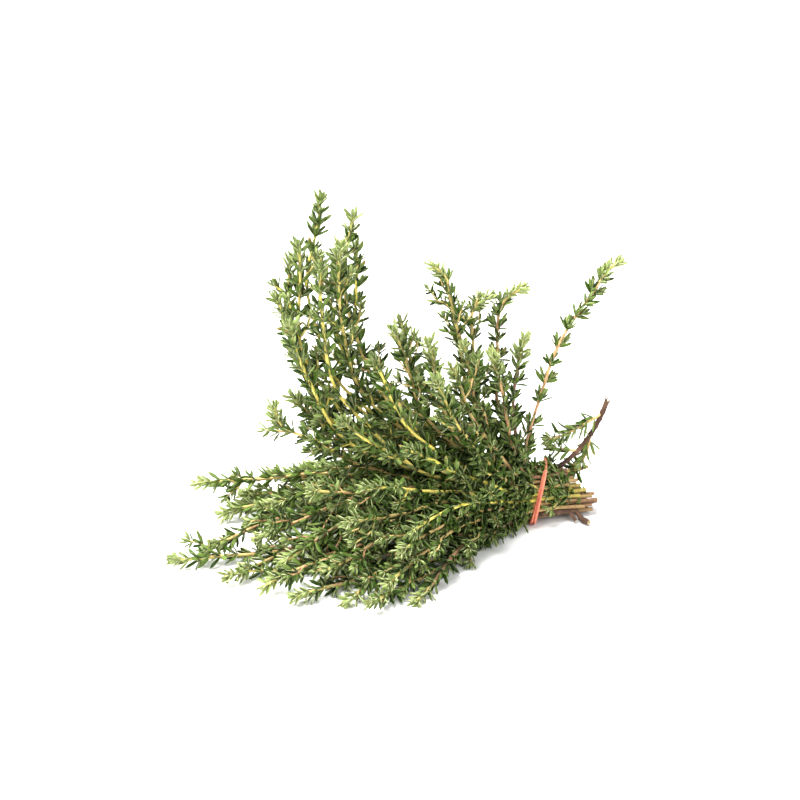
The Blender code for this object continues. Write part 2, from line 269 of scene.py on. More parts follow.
def leaf_pattern():
    """The node group that all leaf finishes share. It draws rim, midrib, veins, glands and age, and paints
    highlight on the pale rims and midribs of young leaves and shade on old ones.
    """
    group, given, result = pattern_group("leaf_pattern", ("Dark", "Light"))
    blade = linked(group, "ShaderNodeSeparateXYZ", _0=wrap_of(group))
    off_midrib = maths(group, "ABSOLUTE", maths(group, "MULTIPLY_ADD", blade.outputs["X"], 2.0, -1.0))
    along = blade.outputs["Y"]
    tone, youth, upper = (measure(group, name) for name in MEASURES)

    midrib = stepped(group, off_midrib, *MIDRIB_SPAN, 1.0, 0.0)
    # Margins and midrib are paler on young leaves: painted highlight near the tips, painted shade on the
    # older leaves deep in the bundle.
    painted_light_pallor = stepped(group, youth, 0.0, 0.7, OLD_LEAF_SHADED_PALLOR, 1.0)
    midrib_and_highlight = times(group, midrib, painted_light_pallor)
    rim_and_highlight = times(group, stepped(group, off_midrib, *RIM_SPAN), painted_light_pallor)
    slanted = maths(group, "MULTIPLY_ADD", off_midrib, VEIN_SLANT, times(group, along, VEIN_COUNT))
    veins = stepped(group, maths(group, "PINGPONG", slanted, 0.5), 0.0, 0.12, 1.0, 0.0)
    place = group.nodes.new("ShaderNodeTexCoord").outputs["Object"]
    cells = linked(group, "ShaderNodeTexVoronoi", Vector=place, Scale=GLAND_SCALE)
    gland = stepped(group, cells.outputs["Distance"], 0.08, 0.3, 1.0, 0.0)

    mottled = maths(group, "MULTIPLY_ADD", noise(group, MOTTLE_SCALE), 0.4, times(group, tone, 0.8))
    skin = mixed(group, stepped(group, mottled, 0.35, 1.15), given.outputs["Dark"], given.outputs["Light"])
    pale = stepped(group, tone, 0.84, 0.94, 0.0, PALE_SHARE)
    young = maths(group, "MAXIMUM", stepped(group, youth, 0.1, 1.0, 0.0, YOUNG_SHARE), pale)
    skin = mixed(group, young, skin, YOUNG)
    skin = mixed(group, times(group, gland, GLAND_SHARE), skin, GLAND_SHADE)
    skin = mixed(group, times(group, veins, VEIN_SHARE), skin, PALE_AND_PAINTED_HIGHLIGHT)
    skin = mixed(group, times(group, midrib_and_highlight, MIDRIB_SHARE), skin, PALE_AND_PAINTED_HIGHLIGHT)
    under = mixed(group, times(group, youth, 0.7), UNDERSIDE, YOUNG)
    under = mixed(group, times(group, midrib_and_highlight, MIDRIB_SHARE_BELOW), under, PALE_AND_PAINTED_HIGHLIGHT)
    sides = mixed(group, stepped(group, upper, 0.05, 0.45), under, skin)
    # The pale rolled rim, partly a painted highlight.
    colour = mixed(group, times(group, rim_and_highlight, RIM_AND_HIGHLIGHT_SHARE), sides, PALE_AND_PAINTED_HIGHLIGHT)
    colour = mixed(group, stepped(group, along, 0.0, 0.16, STALK_SHARE, 0.0), colour, STALK)
    dried = times(group, stepped(group, tone, 0.96, 0.99), stepped(group, along, 0.45, 0.95))
    colour = mixed(group, dried, colour, DRIED)
    group.links.new(colour, result.inputs["Colour"])

    rough = stepped(group, upper, 0.1, 0.5, 0.72, 0.32)
    rough = maths(group, "MULTIPLY_ADD", noise(group, SHEEN_SCALE), 0.12, rough)
    group.links.new(rough, result.inputs["Roughness"])
    height = maths(group, "MULTIPLY_ADD", gland, -0.7, times(group, midrib, -0.6))
    height = maths(group, "MULTIPLY_ADD", veins, -0.3, height)
    height = maths(group, "MULTIPLY_ADD", noise(group, GRAIN_SCALE, 3.0), 0.8, height)
    group.links.new(height, result.inputs["Height"])
    return group


def finish_from(name, group, depth, specular, **colours):
    """A Principled material whose colour, roughness and bump come from a shared pattern."""
    material = bpy.data.materials.new(name)
    material.use_nodes = True
    tree = material.node_tree
    shader = tree.nodes["Principled BSDF"]
    pattern = tree.nodes.new("ShaderNodeGroup")
    pattern.node_tree = group
    for colour, shade in colours.items():
        pattern.inputs[colour].default_value = (*shade, 1.0)
    shader.inputs["Specular IOR Level"].default_value = specular
    tree.links.new(pattern.outputs["Colour"], shader.inputs["Base Color"])
    tree.links.new(pattern.outputs["Roughness"], shader.inputs["Roughness"])
    bump = linked(tree, "ShaderNodeBump", Height=pattern.outputs["Height"], Distance=depth)
    tree.links.new(bump.outputs["Normal"], shader.inputs["Normal"])
    return material


shared_leaf_pattern = leaf_pattern()
leaf_finishes = {}
for shade, (dark, light) in LEAF_SHADES.items():
    leaf_finishes[shade] = finish_from(f"leaf_{shade}", shared_leaf_pattern, GLAND_DEPTH, LEAF_SPECULAR,
                                       Dark=dark, Light=light)

# ------------------------------------------------------------------------------------------------
# Stems. They are square with rounded corners and a groove down each side, as in all mints. Bark runs
# from brown wood at the cut through straw, orange or purple to yellow-green at the tip.

STEM_CORNER = 0.3
STEM_GROOVE = 0.1

# The bark at each tone, from yellow stems through tan and purple ones to old wood.
BARK_SHADES = (
    (0.0, (0.900, 0.780, 0.120)),
    (0.35, (0.830, 0.650, 0.230)),
    (0.6, (0.620, 0.380, 0.170)),
    (0.8, (0.340, 0.180, 0.110)),
    (1.0, (0.040, 0.020, 0.014)),
)
OLD_BARK = (0.090, 0.045, 0.026)
GREEN_BARK = (0.640, 0.620, 0.160)
FIBRE = (0.560, 0.400, 0.190)
CUT_WOOD = (0.620, 0.480, 0.240)
PITH = (0.330, 0.220, 0.100)
BARK_DEPTH = 0.00010
BARK_SPECULAR = 0.25
STREAK_STRETCH = (26.0, 0.5, 1.0)
PATCH_SCALE = 160.0
PATCH_SHIFT = 0.35


def modelled_section():
    """The outline of a stem one unit wide, as points round it, from a square with bevelled corners."""
    bpy.ops.object.select_all(action="DESELECT")
    bpy.ops.mesh.primitive_plane_add(size=1)
    section = bpy.context.object
    bpy.ops.object.mode_set(mode="EDIT")
    bpy.ops.mesh.select_all(action="SELECT")
    bpy.ops.mesh.bevel(offset=STEM_CORNER, affect="VERTICES")
    bpy.ops.mesh.select_mode(type="EDGE")
    bpy.ops.mesh.select_all(action="DESELECT")
    shape = bmesh.from_edit_mesh(section.data)
    for edge in shape.edges:
        across = edge.verts[0].co - edge.verts[1].co
        edge.select = min(abs(across.x), abs(across.y)) < 0.01
    bmesh.update_edit_mesh(section.data)
    bpy.ops.mesh.subdivide(number_cuts=1)
    bpy.ops.mesh.select_mode(type="VERT")
    select_points(lambda place: min(abs(place.x), abs(place.y)) < 0.01)
    bpy.ops.transform.resize(value=(1 - 2 * STEM_GROOVE, 1 - 2 * STEM_GROOVE, 1))
    bpy.ops.object.mode_set(mode="OBJECT")
    corners = [section.data.vertices[index].co.copy() for index in section.data.polygons[0].vertices]
    bpy.data.objects.remove(section)
    return [(corner.x, corner.y) for corner in corners]


def bark_pattern():
    """The node group of all stems: streaks, patches, dark knots and the pale wood of a cut."""
    group, _, result = pattern_group("bark_pattern")
    wrap = wrap_of(group)
    round_and_along = linked(group, "ShaderNodeSeparateXYZ", _0=wrap)
    tone, youth, knot = (measure(group, name) for name in MEASURES)
    stretched = linked(group, "ShaderNodeMapping", Vector=wrap, Scale=STREAK_STRETCH)
    streak = noise(group, 1.0, 3.0, Vector=stretched.outputs["Vector"])
    patch = noise(group, PATCH_SCALE)

    ramp = group.nodes.new("ShaderNodeValToRGB")
    while len(ramp.color_ramp.elements) < len(BARK_SHADES):
        ramp.color_ramp.elements.new(0.5)
    for element, (place, shade) in zip(ramp.color_ramp.elements, BARK_SHADES):
        element.position = place
        element.color = (*shade, 1.0)
    shifted = maths(group, "MULTIPLY_ADD", maths(group, "SUBTRACT", patch, 0.5), PATCH_SHIFT, tone)
    group.links.new(shifted, ramp.inputs["Fac"])
    colour = mixed(group, stepped(group, youth, 0.0, 0.22, 0.6, 0.0), ramp.outputs["Color"], OLD_BARK)
    colour = mixed(group, stepped(group, youth, 0.85, 1.0, 0.0, 0.7), colour, GREEN_BARK)
    fibres = stepped(group, streak, 0.5, 0.7, 0.0, 0.25)
    fresh = times(group, fibres, stepped(group, tone, 0.7, 1.0, 1.0, 0.1))
    colour = mixed(group, fresh, colour, FIBRE)
    colour = mixed(group, stepped(group, streak, 0.3, 0.45, 0.25, 0.0), colour, OLD_BARK)
    colour = mixed(group, times(group, knot, 0.35), colour, OLD_BARK)

    # The cut face and its rim are mapped below zero, the rim at the edge and the pith in the middle.
    inwards = times(group, round_and_along.outputs["Y"], -1.0)
    wood = mixed(group, stepped(group, inwards, 0.55, 0.9), CUT_WOOD, PITH)
    colour = mixed(group, stepped(group, inwards, 0.05, 0.12), colour, wood)
    group.links.new(colour, result.inputs["Colour"])
    group.links.new(stepped(group, streak, 0.3, 0.7, 0.78, 0.52), result.inputs["Roughness"])
    height = maths(group, "MULTIPLY_ADD", patch, 0.4, streak)
    group.links.new(height, result.inputs["Height"])
    return group


SECTION = modelled_section()
bark_finish = finish_from("thyme_bark", bark_pattern(), BARK_DEPTH, BARK_SPECULAR)

# ------------------------------------------------------------------------------------------------
# Where the sprigs run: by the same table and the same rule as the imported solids, so that each fine
# sprig lies in its own node. Every stem has a slot in the tie, fans out of it and waves a little.

# The middle of the tie, and the shift that brings the bundle's box to the middle of the axes.
TIE = Vector((60.0, 0.0, 12.0))
CENTRING = Vector((4.6, -5.1, 0.0))

# The band's slant, and the stems' slots in it, in rows from the table up.
SLANT_ACROSS = 0.5
SLANT_UP = 0.25
ROW_PITCH = 2.1
COLUMN_PITCH = 2.7
LOWEST_ROW = 2.6

# A stem leaves the tie along -X and turns into its own direction, with a slight wave to it.
TURN_LENGTH = 18.0
WAVE_GROWTH = 60.0
WAVE_ANGLE = 6.0
WAVE_LENGTHS = (38.0, 64.0)
LOWEST_STEM = 1.8
FULL_TURN = 6.28

# The cut ends spread from the tie, the upper ones upwards too, and each strays a little. One snapped.
SPLAY_LENGTH = 22.0
SPLAY_ACROSS = 0.032
SPLAY_UP = 0.018
STRAY = 0.05
SNAPPED = "low_sprig_8"
SNAP_AT = 18
SNAP_TURN = Vector((0.25, -0.72, -0.65))

# Towards its tip every stem nods by a few degrees, up for plus. Some nod further.
NOD_LENGTH = 16.0
NOD_RANGE = 14.0
NODS = {
    "floor_sprig_3": 10,
    "pile_sprig_3": 4,
    "arched_sprig_3": 20,
    "arched_sprig_4": 45,
    "rising_sprig_3": -24,
    "steep_sprig_1": 75,
    "steep_sprig_2": -60,
    "top_sprig_1": 60,
}

# The stem of old wood runs level for a short way past the tie, then its cut end bends up to this rise.
WOODY = "top_sprig_2"
WOODY_LEVEL = 3
WOODY_RISE = 70.0

# A sprig's plan: its heading leaving the tie and at the tip (0 is along -X, plus turns towards -Y), its
# rise above level leaving the tie, half way and at the tip, in degrees, then its length beyond the tie
# and the length of its cut end. A row runs from the far side of the bundle to the near side.
ROWS = (
    ("floor_sprig", "deep_green", (
        (-21, -24, 0, -1, 2, 128, 22),
        (-11, -16, 0, -1, 2, 124, 27),
        (0, -3, 0, -1, 4, 160, 20),
        (12, 0, 0, -1, 4, 143, 28),
        (20, 17, 0, -1, 3, 127, 24),
        (31, 31, 0, -1, 3, 111, 26),
    )),
    ("low_sprig", "deep_green", (
        (-36, -34, 8, 0, -8, 112, 15),
        (-26, -26, 8, 2, -10, 128, 22),
        (-16, -20, 8, 1, -8, 136, 18),
        (-9, 2, 8, 4, -10, 148, 27),
        (-1, 9, 8, 3, -14, 136, 21),
        (7, 17, 8, 2, -12, 134, 28),
        (23, 25, 8, 0, -10, 112, 25),
        (34, 38, 7, 0, -12, 92, 28),
    )),
    ("pile_sprig", "soft_green", (
        (-36, -34, 15, 4, -8, 104, 12),
        (-28, -27, 14, 3, -8, 118, 16),
        (-20, -24, 14, 4, -9, 148, 14),
        (-12, -16, 14, 8, -16, 120, 20),
        (-4, 2, 14, 9, -22, 128, 26),
        (5, 8, 14, 7, -22, 124, 22),
        (15, 18, 14, 7, -22, 112, 27),
        (26, 32, 14, 5, -20, 98, 21),
    )),
    ("arched_sprig", "soft_green", (
        (-28, -28, 18, 26, 38, 100, 13),
        (-20, -20, 16, 22, 30, 106, 15),
        (-11, -11, 16, 24, 44, 122, 12),
        (-2, 0, 16, 24, 37, 135, 18),
        (8, 8, 18, 17, 8, 112, 20),
        (17, 18, 18, 13, 0, 104, 24),
        (27, 30, 18, 9, -8, 90, 17),
    )),
    ("rising_sprig", "bright_green", (
        (-24, -24, 22, 36, 72, 124, 11),
        (-18, -8, 19, 37, 94, 170, 14),
        (-12, 0, 18, 35, 84, 162, 13),
        (-4, 6, 18, 33, 78, 156, 17),
        (8, 8, 22, 29, 44, 110, 15),
        (17, 18, 23, 20, 14, 98, 21),
        (28, 30, 24, 14, 0, 84, 18),
    )),
    ("tall_sprig", "bright_green", (
        (-20, -20, 26, 50, 94, 148, 11),
        (-16, -18, 21, 49, 104, 185, 10),
        (-9, -10, 20, 41, 98, 176, 15),
        (-1, -4, 21, 43, 96, 166, 13),
        (10, 12, 27, 42, 66, 118, 18),
        (22, 22, 30, 32, 30, 86, 14),
    )),
    ("upright_sprig", "bright_green", (
        (-18, -24, 32, 50, 74, 100, 9),
        (-11, -20, 25, 53, 98, 165, 22),
        (-4, -10, 24, 47, 98, 161, 10),
        (4, -2, 29, 50, 78, 112, 14),
        (12, 10, 33, 55, 78, 102, 16),
        (22, 20, 39, 50, 62, 92, 12),
    )),
    ("steep_sprig", "soft_green", (
        (-14, -24, 50, 74, 92, 99, 9),
        (-5, -8, 50, 72, 84, 118, 12),
        (5, 1, 44, 66, 76, 82, 11),
        (12, 12, 50, 58, 66, 81, 9),
    )),
    ("top_sprig", "soft_green", (
        (-8, -20, 60, 84, 98, 98, 8),
        (-3, -10, 76, 86, 96, 70, 42),
        (0, -2, 98, 112, 130, 109, 10),
        (8, 10, 70, 74, 80, 70, 8),
    )),
)


def smooth_step(t):
    """Goes from 0 to 1 without a kink as t does."""
    t = min(1.0, max(0.0, t))
    return t * t * (3 - 2 * t)


def bend(start, half, tip, t):
    """The value at t of a smooth bend that starts, passes half way and ends as given."""
    return start * (1 - t) * (1 - 2 * t) + 4 * half * t * (1 - t) + tip * t * (2 * t - 1)


def direction(heading, rise):
    """The unit vector of a heading and a rise in degrees."""
    heading = math.radians(heading)
    rise = math.radians(rise)
    level = math.cos(rise)
    return Vector((-math.cos(heading) * level, -math.sin(heading) * level, math.sin(rise)))


def slot_of(row, column, count):
    """Where a stem passes through the slanted plane of the band."""
    across = -(column - (count - 1) / 2) * COLUMN_PITCH
    up = LOWEST_ROW + row * ROW_PITCH
    along = TIE.x + SLANT_ACROSS * across + SLANT_UP * (up - TIE.z)
    return Vector((along, TIE.y + across, up))


def cut_side(name, slot, length, stray):
    """The points of a cut end, a millimetre apart, from the slot to the cut."""
    points = [slot]
    for step in range(1, length + 1):
        spread = smooth_step(step / SPLAY_LENGTH)
        across = slot.y * SPLAY_ACROSS + stray[0]
        up = max(0.0, slot.z - TIE.z) * SPLAY_UP + stray[1]
        heading = Vector((1.0, across * spread, up * spread))
        if name == SNAPPED and step > SNAP_AT:
            heading = SNAP_TURN
        if name == WOODY:
            bent = max(0, step - WOODY_LEVEL) / (length - WOODY_LEVEL)
            heading = direction(180, WOODY_RISE * math.sqrt(bent))
        point = points[-1] + heading.normalized()
        point.z = max(point.z, LOWEST_STEM)
        points.append(point)
    return points


def leafy_side(slot, plan, wave, nod):
    """The points of a stem beyond the tie, a millimetre apart, from the slot to the nodding tip."""
    heading_tie, heading_tip, rise_tie, rise_half, rise_tip, length, _ = plan
    phase_across, phase_up, wave_length = wave
    points = [slot]
    for step in range(length):
        t = (step + 0.5) / length
        turned = smooth_step((step + 0.5) / TURN_LENGTH)
        rise = bend(rise_tie, rise_half, rise_tip, smooth_step(t))
        heading = heading_tie + (heading_tip - heading_tie) * t
        turn = 2 * math.pi * step / wave_length
        wave_angle = WAVE_ANGLE * smooth_step(step / WAVE_GROWTH)
        heading += wave_angle * math.sin(turn + phase_across)
        rise += wave_angle * math.sin(turn + phase_up)
        rise += nod * smooth_step((step - length) / NOD_LENGTH + 1)
        point = points[-1] + direction(heading * turned, rise * turned)
        point.z = max(point.z, LOWEST_STEM)
        points.append(point)
    return points


def sprig_path(name, row, column, plan, count):
    """A sprig's points from the cut to the tip, and how far from the cut the tie holds it."""
    draw = random.Random(100 * row + column)
    wave = (draw.uniform(0, FULL_TURN), draw.uniform(0, FULL_TURN), draw.uniform(*WAVE_LENGTHS))
    stray = (draw.uniform(-STRAY, STRAY), draw.uniform(-STRAY, STRAY))
    nod = NODS.get(name, draw.uniform(-NOD_RANGE, NOD_RANGE))
    slot = slot_of(row, column, count)
    cut = cut_side(name, slot, plan[-1], stray)
    return cut[:0:-1] + leafy_side(slot, plan, wave, nod), len(cut) - 1


def frames_along(points, spin):
    """The tangent, side and outward vectors at each point, carried along without twisting."""
    tangent = (points[1] - points[0]).normalized()
    side = Quaternion(tangent, spin) @ tangent.orthogonal().normalized()
    frames = []
    for index in range(len(points)):
        ahead = points[min(index + 1, len(points) - 1)]
        behind = points[max(index - 1, 0)]
        turned = (ahead - behind).normalized()
        side = (tangent.rotation_difference(turned) @ side).normalized()
        tangent = turned
        frames.append((tangent, side, tangent.cross(side)))
    return frames


# ------------------------------------------------------------------------------------------------
# The rubber band. One loop of square-cut coral rubber, wound twice round the stems with a half twist
# to each turn, so its strands lie side by side under the bundle and one on the other over it.

BAND_STRAND = 1.1
BAND_SLIPPED = 0.8
BAND_OFF_SLOTS = 2.4
BAND_SPACING = 0.8
BAND_STEPS = 208
BAND_CORNER = 0.28
CORAL = (0.820, 0.240, 0.140)
CORAL_DARK = (0.520, 0.085, 0.050)
CORAL_DUSTY = (0.880, 0.420, 0.300)
RUBBER_CLOUDS = 120.0
RUBBER_GRAIN = 1400.0
RUBBER_DEPTH = 0.00005
RUBBER_SMOOTH = 35


def strand_middle(turn, slots):
    """The middle of the strand and its outward direction, at an angle round the stems from under them."""
    outward = Vector((0.0, -math.sin(turn), -math.cos(turn)))
    held = max(slots, key=outward.dot)
    ridden = BAND_SPACING * (math.sin(turn / 2) + abs(math.sin(turn / 2)))
    middle = held + outward * (BAND_OFF_SLOTS + ridden)
    middle.z = max(BAND_STRAND / 2, middle.z)
    middle.x = TIE.x - BAND_SLIPPED + SLANT_ACROSS * middle.y + SLANT_UP * (middle.z - TIE.z)
    middle.x += BAND_SPACING * math.cos(turn / 2)
    return middle, outward


def rubber_finish():
    """Coral rubber: darker in clouds, dusty in specks, with a fine grain to its skin."""
    material = bpy.data.materials.new("coral_rubber_skin")
    material.use_nodes = True
    tree = material.node_tree
    shader = tree.nodes["Principled BSDF"]
    wide = noise(tree, RUBBER_CLOUDS)
    fine = noise(tree, RUBBER_GRAIN, 4.0)
    colour = mixed(tree, stepped(tree, wide, 0.35, 0.7, 0.0, 0.6), CORAL, CORAL_DARK)
    colour = mixed(tree, stepped(tree, fine, 0.5, 0.75, 0.0, 0.45), colour, CORAL_DUSTY)
    tree.links.new(colour, shader.inputs["Base Color"])
    tree.links.new(stepped(tree, fine, 0.3, 0.7, 0.42, 0.62), shader.inputs["Roughness"])
    bump = linked(tree, "ShaderNodeBump", Height=fine, Distance=RUBBER_DEPTH)
    tree.links.new(bump.outputs["Normal"], shader.inputs["Normal"])
    return material


def make_band():
    """The band's strand, swept twice round the stems and closed on itself."""
    slots = [slot_of(row, column, len(plans)) for row, (_, _, plans) in enumerate(ROWS)
             for column in range(len(plans))]
    half = BAND_STRAND / 2
    cut = half * (1 - 2 * BAND_CORNER)
    outline = [(-half, -cut), (-cut, -half), (cut, -half), (half, -cut), (half, cut), (cut, half),
               (-cut, half), (-half, cut)]
    course, points, faces = [], [], []
    for step in range(BAND_STEPS):
        turn = 4 * math.pi * step / BAND_STEPS
        middle, outward = strand_middle(turn, slots)
        course.append(middle)
        for side, out in outline:
            points.append(middle + Vector((side, 0, 0)) + outward * out)
        following = len(outline) * ((step + 1) % BAND_STEPS)
        first = len(outline) * step
        for corner in range(len(outline)):
            beside = (corner + 1) % len(outline)
            faces.append((first + beside, first + corner, following + corner, following + beside))
    mesh = bpy.data.meshes.new("doubled_band")
    mesh.from_pydata([(point + CENTRING) * MM for point in points], [], faces)
    mesh.materials.append(rubber_finish())
    band = bpy.data.objects.new("doubled_band", mesh)
    bpy.context.scene.collection.objects.link(band)
    shown_and_selected(band)
    bpy.ops.object.shade_smooth_by_angle(angle=math.radians(RUBBER_SMOOTH))
    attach(band, "root")
    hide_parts("rubber_band")
    return course


band_course = make_band()

# ------------------------------------------------------------------------------------------------
# How a sprig is put together. Its stem is lofted through its path, swollen and darker at each leaf
# pair, and its leaves are copies of the modelled ones, turned and where need be made smaller to keep clear
# of stems, leaves and the table.

# Space is kept as balls, sorted into cubes of this size. A leaf takes three balls along its axis.
CELL = 1.6
LEAF_BALLS = (0.5, 0.78, 1.0)
LEAF_RADIUS = 0.3
taken = {}


def cell_of(place):
    """The small cube of space that a place lies in."""
    return math.floor(place.x / CELL), math.floor(place.y / CELL), math.floor(place.z / CELL)


def take(place, radius, owner):
    """Marks a ball of space as taken by its owner."""
    taken.setdefault(cell_of(place), []).append((place.copy(), radius, owner))


def room_at(place, radius, own):
    """The least gap from a ball there to what others have taken, up to one cell."""
    x, y, z = cell_of(place)
    gap = CELL
    for cell in ((x + i, y + j, z + k) for i in (-1, 0, 1) for j in (-1, 0, 1) for k in (-1, 0, 1)):
        for other, size, owner in taken.get(cell, ()):
            if owner not in own:
                gap = min(gap, (other - place).length - size - radius)
    return gap


def at(points, frames, place):
    """The point and the frame at a distance along a path whose points are a millimetre apart."""
    index = min(int(place), len(points) - 2)
    return points[index].lerp(points[index + 1], place - index), frames[index]


def add_shape(growth, points, faces, wrap, tone, youth, upper, finish):
    """Adds a closed shape to a sprig, with its map, its measures and the number of its finish."""
    first = len(growth["points"])
    growth["faces"].extend(tuple(first + corner for corner in face) for face in faces)
    growth["finish"].extend([finish] * len(faces))
    for kind, values in zip(("points", "wrap") + MEASURES, (points, wrap, tone, youth, upper)):
        growth[kind].extend(values)


# The rings that close a cut, from the pith outwards: place along the stem, share of its width, place on
# the map, and how much of a knot. Further rings stand at and round each node, and in long gaps.
CUT_RINGS = ((0.15, 0.35, -1.0, 0.0), (0.0, 0.75, -0.5, 0.0), (0.0, 0.94, 0.0, 0.0))
FIRST_RING = 0.25
RING_GAP = 4.0
NODE_SWELLING = 1.22
NODE_HALF = 0.9
KNOT_EDGE = 0.1
TIP_LENGTH = 0.8
TIP_SHOULDER = 0.9
TIP_SHARE = 0.45
MAP_SCALE = 0.1


def add_stem(growth, points, frames, nodes, widths, tones, youths):
    """Lofts the section along a path. widths, tones and youths each give the value at cut and tip."""
    last = len(points) - 1
    marks = {FIRST_RING: (1.0, 0.0), last - TIP_LENGTH: (TIP_SHOULDER, 0.0), last: (TIP_SHARE, 0.0)}
    for node in nodes:
        marks[node - NODE_HALF] = (1.0, KNOT_EDGE)
        marks[node] = (NODE_SWELLING, 1.0)
        marks[node + NODE_HALF] = (1.0, KNOT_EDGE)
    places = sorted(place for place in marks if FIRST_RING <= place <= last)
    rings = list(CUT_RINGS)
    for place, following in zip(places, places[1:] + [last]):
        share, knot = marks[place]
        rings.append((place, share, place * MAP_SCALE, knot))
        extra = int((following - place) / RING_GAP)
        for step in range(1, extra + 1):
            between = place + (following - place) * step / (extra + 1)
            rings.append((between, 1.0, between * MAP_SCALE, 0.0))
    count = len(SECTION)
    shape, wrap, tone, youth, upper = [], [], [], [], []
    for place, share, mapped, knot in rings:
        middle, (_, side, outward) = at(points, frames, place)
        t = place / last
        width = share * (widths[0] + (widths[1] - widths[0]) * t)
        for corner, (across, out) in enumerate(SECTION):
            shape.append(middle + (side * across + outward * out) * width)
            wrap.append((abs(2 * corner / count - 1), mapped))
        tone += [tones[0] + (tones[1] - tones[0]) * t] * count
        youth += [youths[0] + (youths[1] - youths[0]) * t] * count
        upper += [knot] * count
    faces = [tuple(range(count))[::-1], tuple(range(len(shape) - count, len(shape)))]
    for ring in range(0, len(shape) - count, count):
        for corner in range(count):
            beside = (corner + 1) % count
            faces.append((ring + corner, ring + beside, ring + count + beside, ring + count + corner))
    add_shape(growth, shape, faces, wrap, tone, youth, upper, 0)


def leaned(along, out, lean, swing):
    """The axis and the upper face of a leaf that leans from along towards out, swung round along."""
    out = Quaternion(along, math.radians(swing)) @ out
    lean = math.radians(lean)
    return along * math.cos(lean) + out * math.sin(lean), along * math.sin(lean) - out * math.cos(lean)


# A leaf with no room around it tries these swings and further leans in turn, then again at a smaller
# size. It may come this far into what is taken, and no lower than this above the table.
TRIES = ((0, 0), (20, 0), (-20, 0), (0, -14), (0, 14), (38, -6), (-38, -6), (24, -18), (-24, -18), (0, -26))
SMALLER_LEAF = 0.72
TOLERATED = 0.4
LEAST_HEIGHT = 0.15
LEAF_ROLL = 28


def stand_leaf(growth, draw, kind, root, along, out, lean, size, youth, own):
    """Stands a leaf of a length and width on its root, at the first try that has room around it."""
    length, width = size
    points, faces, across, along_leaf, upper = LEAVES[kind]
    tone = draw.random()
    roll = math.radians(draw.gauss(0, LEAF_ROLL))
    best = (-CELL, None)
    for share in (1.0, SMALLER_LEAF):
        for swing, tilt in TRIES:
            axis, face = leaned(along, out, lean + tilt, swing)
            face = Quaternion(axis, roll) @ face
            spread = np.array((axis.cross(face) * width / 2, axis * length, face * width / 2)) * share
            if root.z + (points @ spread[:, 2]).min() < LEAST_HEIGHT:
                continue
            balls = [root + axis * length * share * part for part in LEAF_BALLS]
            gap = min(room_at(ball, LEAF_RADIUS, own) for ball in balls)
            if gap > best[0]:
                best = (gap, (spread, balls))
            if gap > 0:
                break
        if best[0] > -TOLERATED:
            break
    if best[0] < -TOLERATED:
        return
    spread, balls = best[1]
    for ball in balls:
        take(ball, LEAF_RADIUS, own[-1])
    shape = [Vector(point) for point in points @ spread + np.array(root)]
    count = len(shape)
    wrap = list(zip(across, along_leaf))
    add_shape(growth, shape, faces, wrap, [tone] * count, [youth] * count, upper, 1)


# A pair of leaves: how far from the stem's middle they are rooted, the spread of their turn and lean in
# degrees, their width for their length, and how far chance makes them longer, wider or arched.
LEAF_ROOT = 0.35
TURN_SPREAD = 28
LEAN_SPREAD = 18
LEAF_SLIMNESS = 0.29
LEAF_LENGTHS = (0.64, 1.16)
LEAF_WIDTHS = (0.85, 1.15)
ARCHED_SHARE = 0.4
ARCHED_YOUTH = 0.6

# The tuft in a leaf's axil: its lean for its leaf's, its swing, and how far up it its own pairs stand.
# Each pair is smaller than the one below, less open and younger.
TUFT_LEANS = (0.3, 0.7)
TUFT_SWING = 25
TUFT_BASE = 0.5
TUFT_PITCH = 1.2
TUFT_SHARE = 0.90
TUFT_SHRINKING = 0.1
TUFT_SLIMNESS = 0.27
TUFT_LENGTHS = (0.8, 1.15)
TUFT_OPEN = 38
TUFT_CLOSING = 10
TUFT_SPREADS = (0.7, 1.3)
TUFT_YOUTH = 0.1


def dress_node(growth, draw, points, frames, node, turn, leaf_length, fullness, youth, spread, name):
    """Stands a pair of leaves at a node, each with a tuft of smaller leaves in its axil."""
    middle, (along, side, outward) = at(points, frames, node)
    own = (name, f"{name} {node:.1f}")
    for half_turn in (0, math.pi):
        angle = turn + half_turn + math.radians(draw.gauss(0, TURN_SPREAD))
        out = side * math.cos(angle) + outward * math.sin(angle)
        root = middle + out * LEAF_ROOT
        length = leaf_length * draw.uniform(*LEAF_LENGTHS)
        leaf = (length, LEAF_SLIMNESS * leaf_length * draw.uniform(*LEAF_WIDTHS))
        kind = "arched" if draw.random() < ARCHED_SHARE and youth < ARCHED_YOUTH else "pair"
        lean = spread + draw.gauss(0, LEAN_SPREAD)
        stand_leaf(growth, draw, kind, root, along, out, lean, leaf, youth, own)
        pairs = int(fullness + draw.random())
        tuft_lean = spread * draw.uniform(*TUFT_LEANS)
        tuft_axis, _ = leaned(along, out, tuft_lean, draw.uniform(-TUFT_SWING, TUFT_SWING))
        across = tuft_axis.cross(out).normalized()
        for pair in range(pairs):
            base = root + tuft_axis * (TUFT_BASE + TUFT_PITCH * pair)
            outwards = across if pair % 2 == 0 else tuft_axis.cross(across)
            share = TUFT_SHARE - TUFT_SHRINKING * pair
            for way in (1, -1):
                length = leaf_length * share * draw.uniform(*TUFT_LENGTHS)
                leaf = (length, TUFT_SLIMNESS * leaf_length * share ** 0.5)
                kind = "tuft" if pair < 2 else "bud"
                lean = (TUFT_OPEN - TUFT_CLOSING * pair) * draw.uniform(*TUFT_SPREADS)
                younger = min(1.0, youth + TUFT_YOUTH * pair)
                stand_leaf(growth, draw, kind, base, tuft_axis, outwards * way, lean, leaf, younger, own)


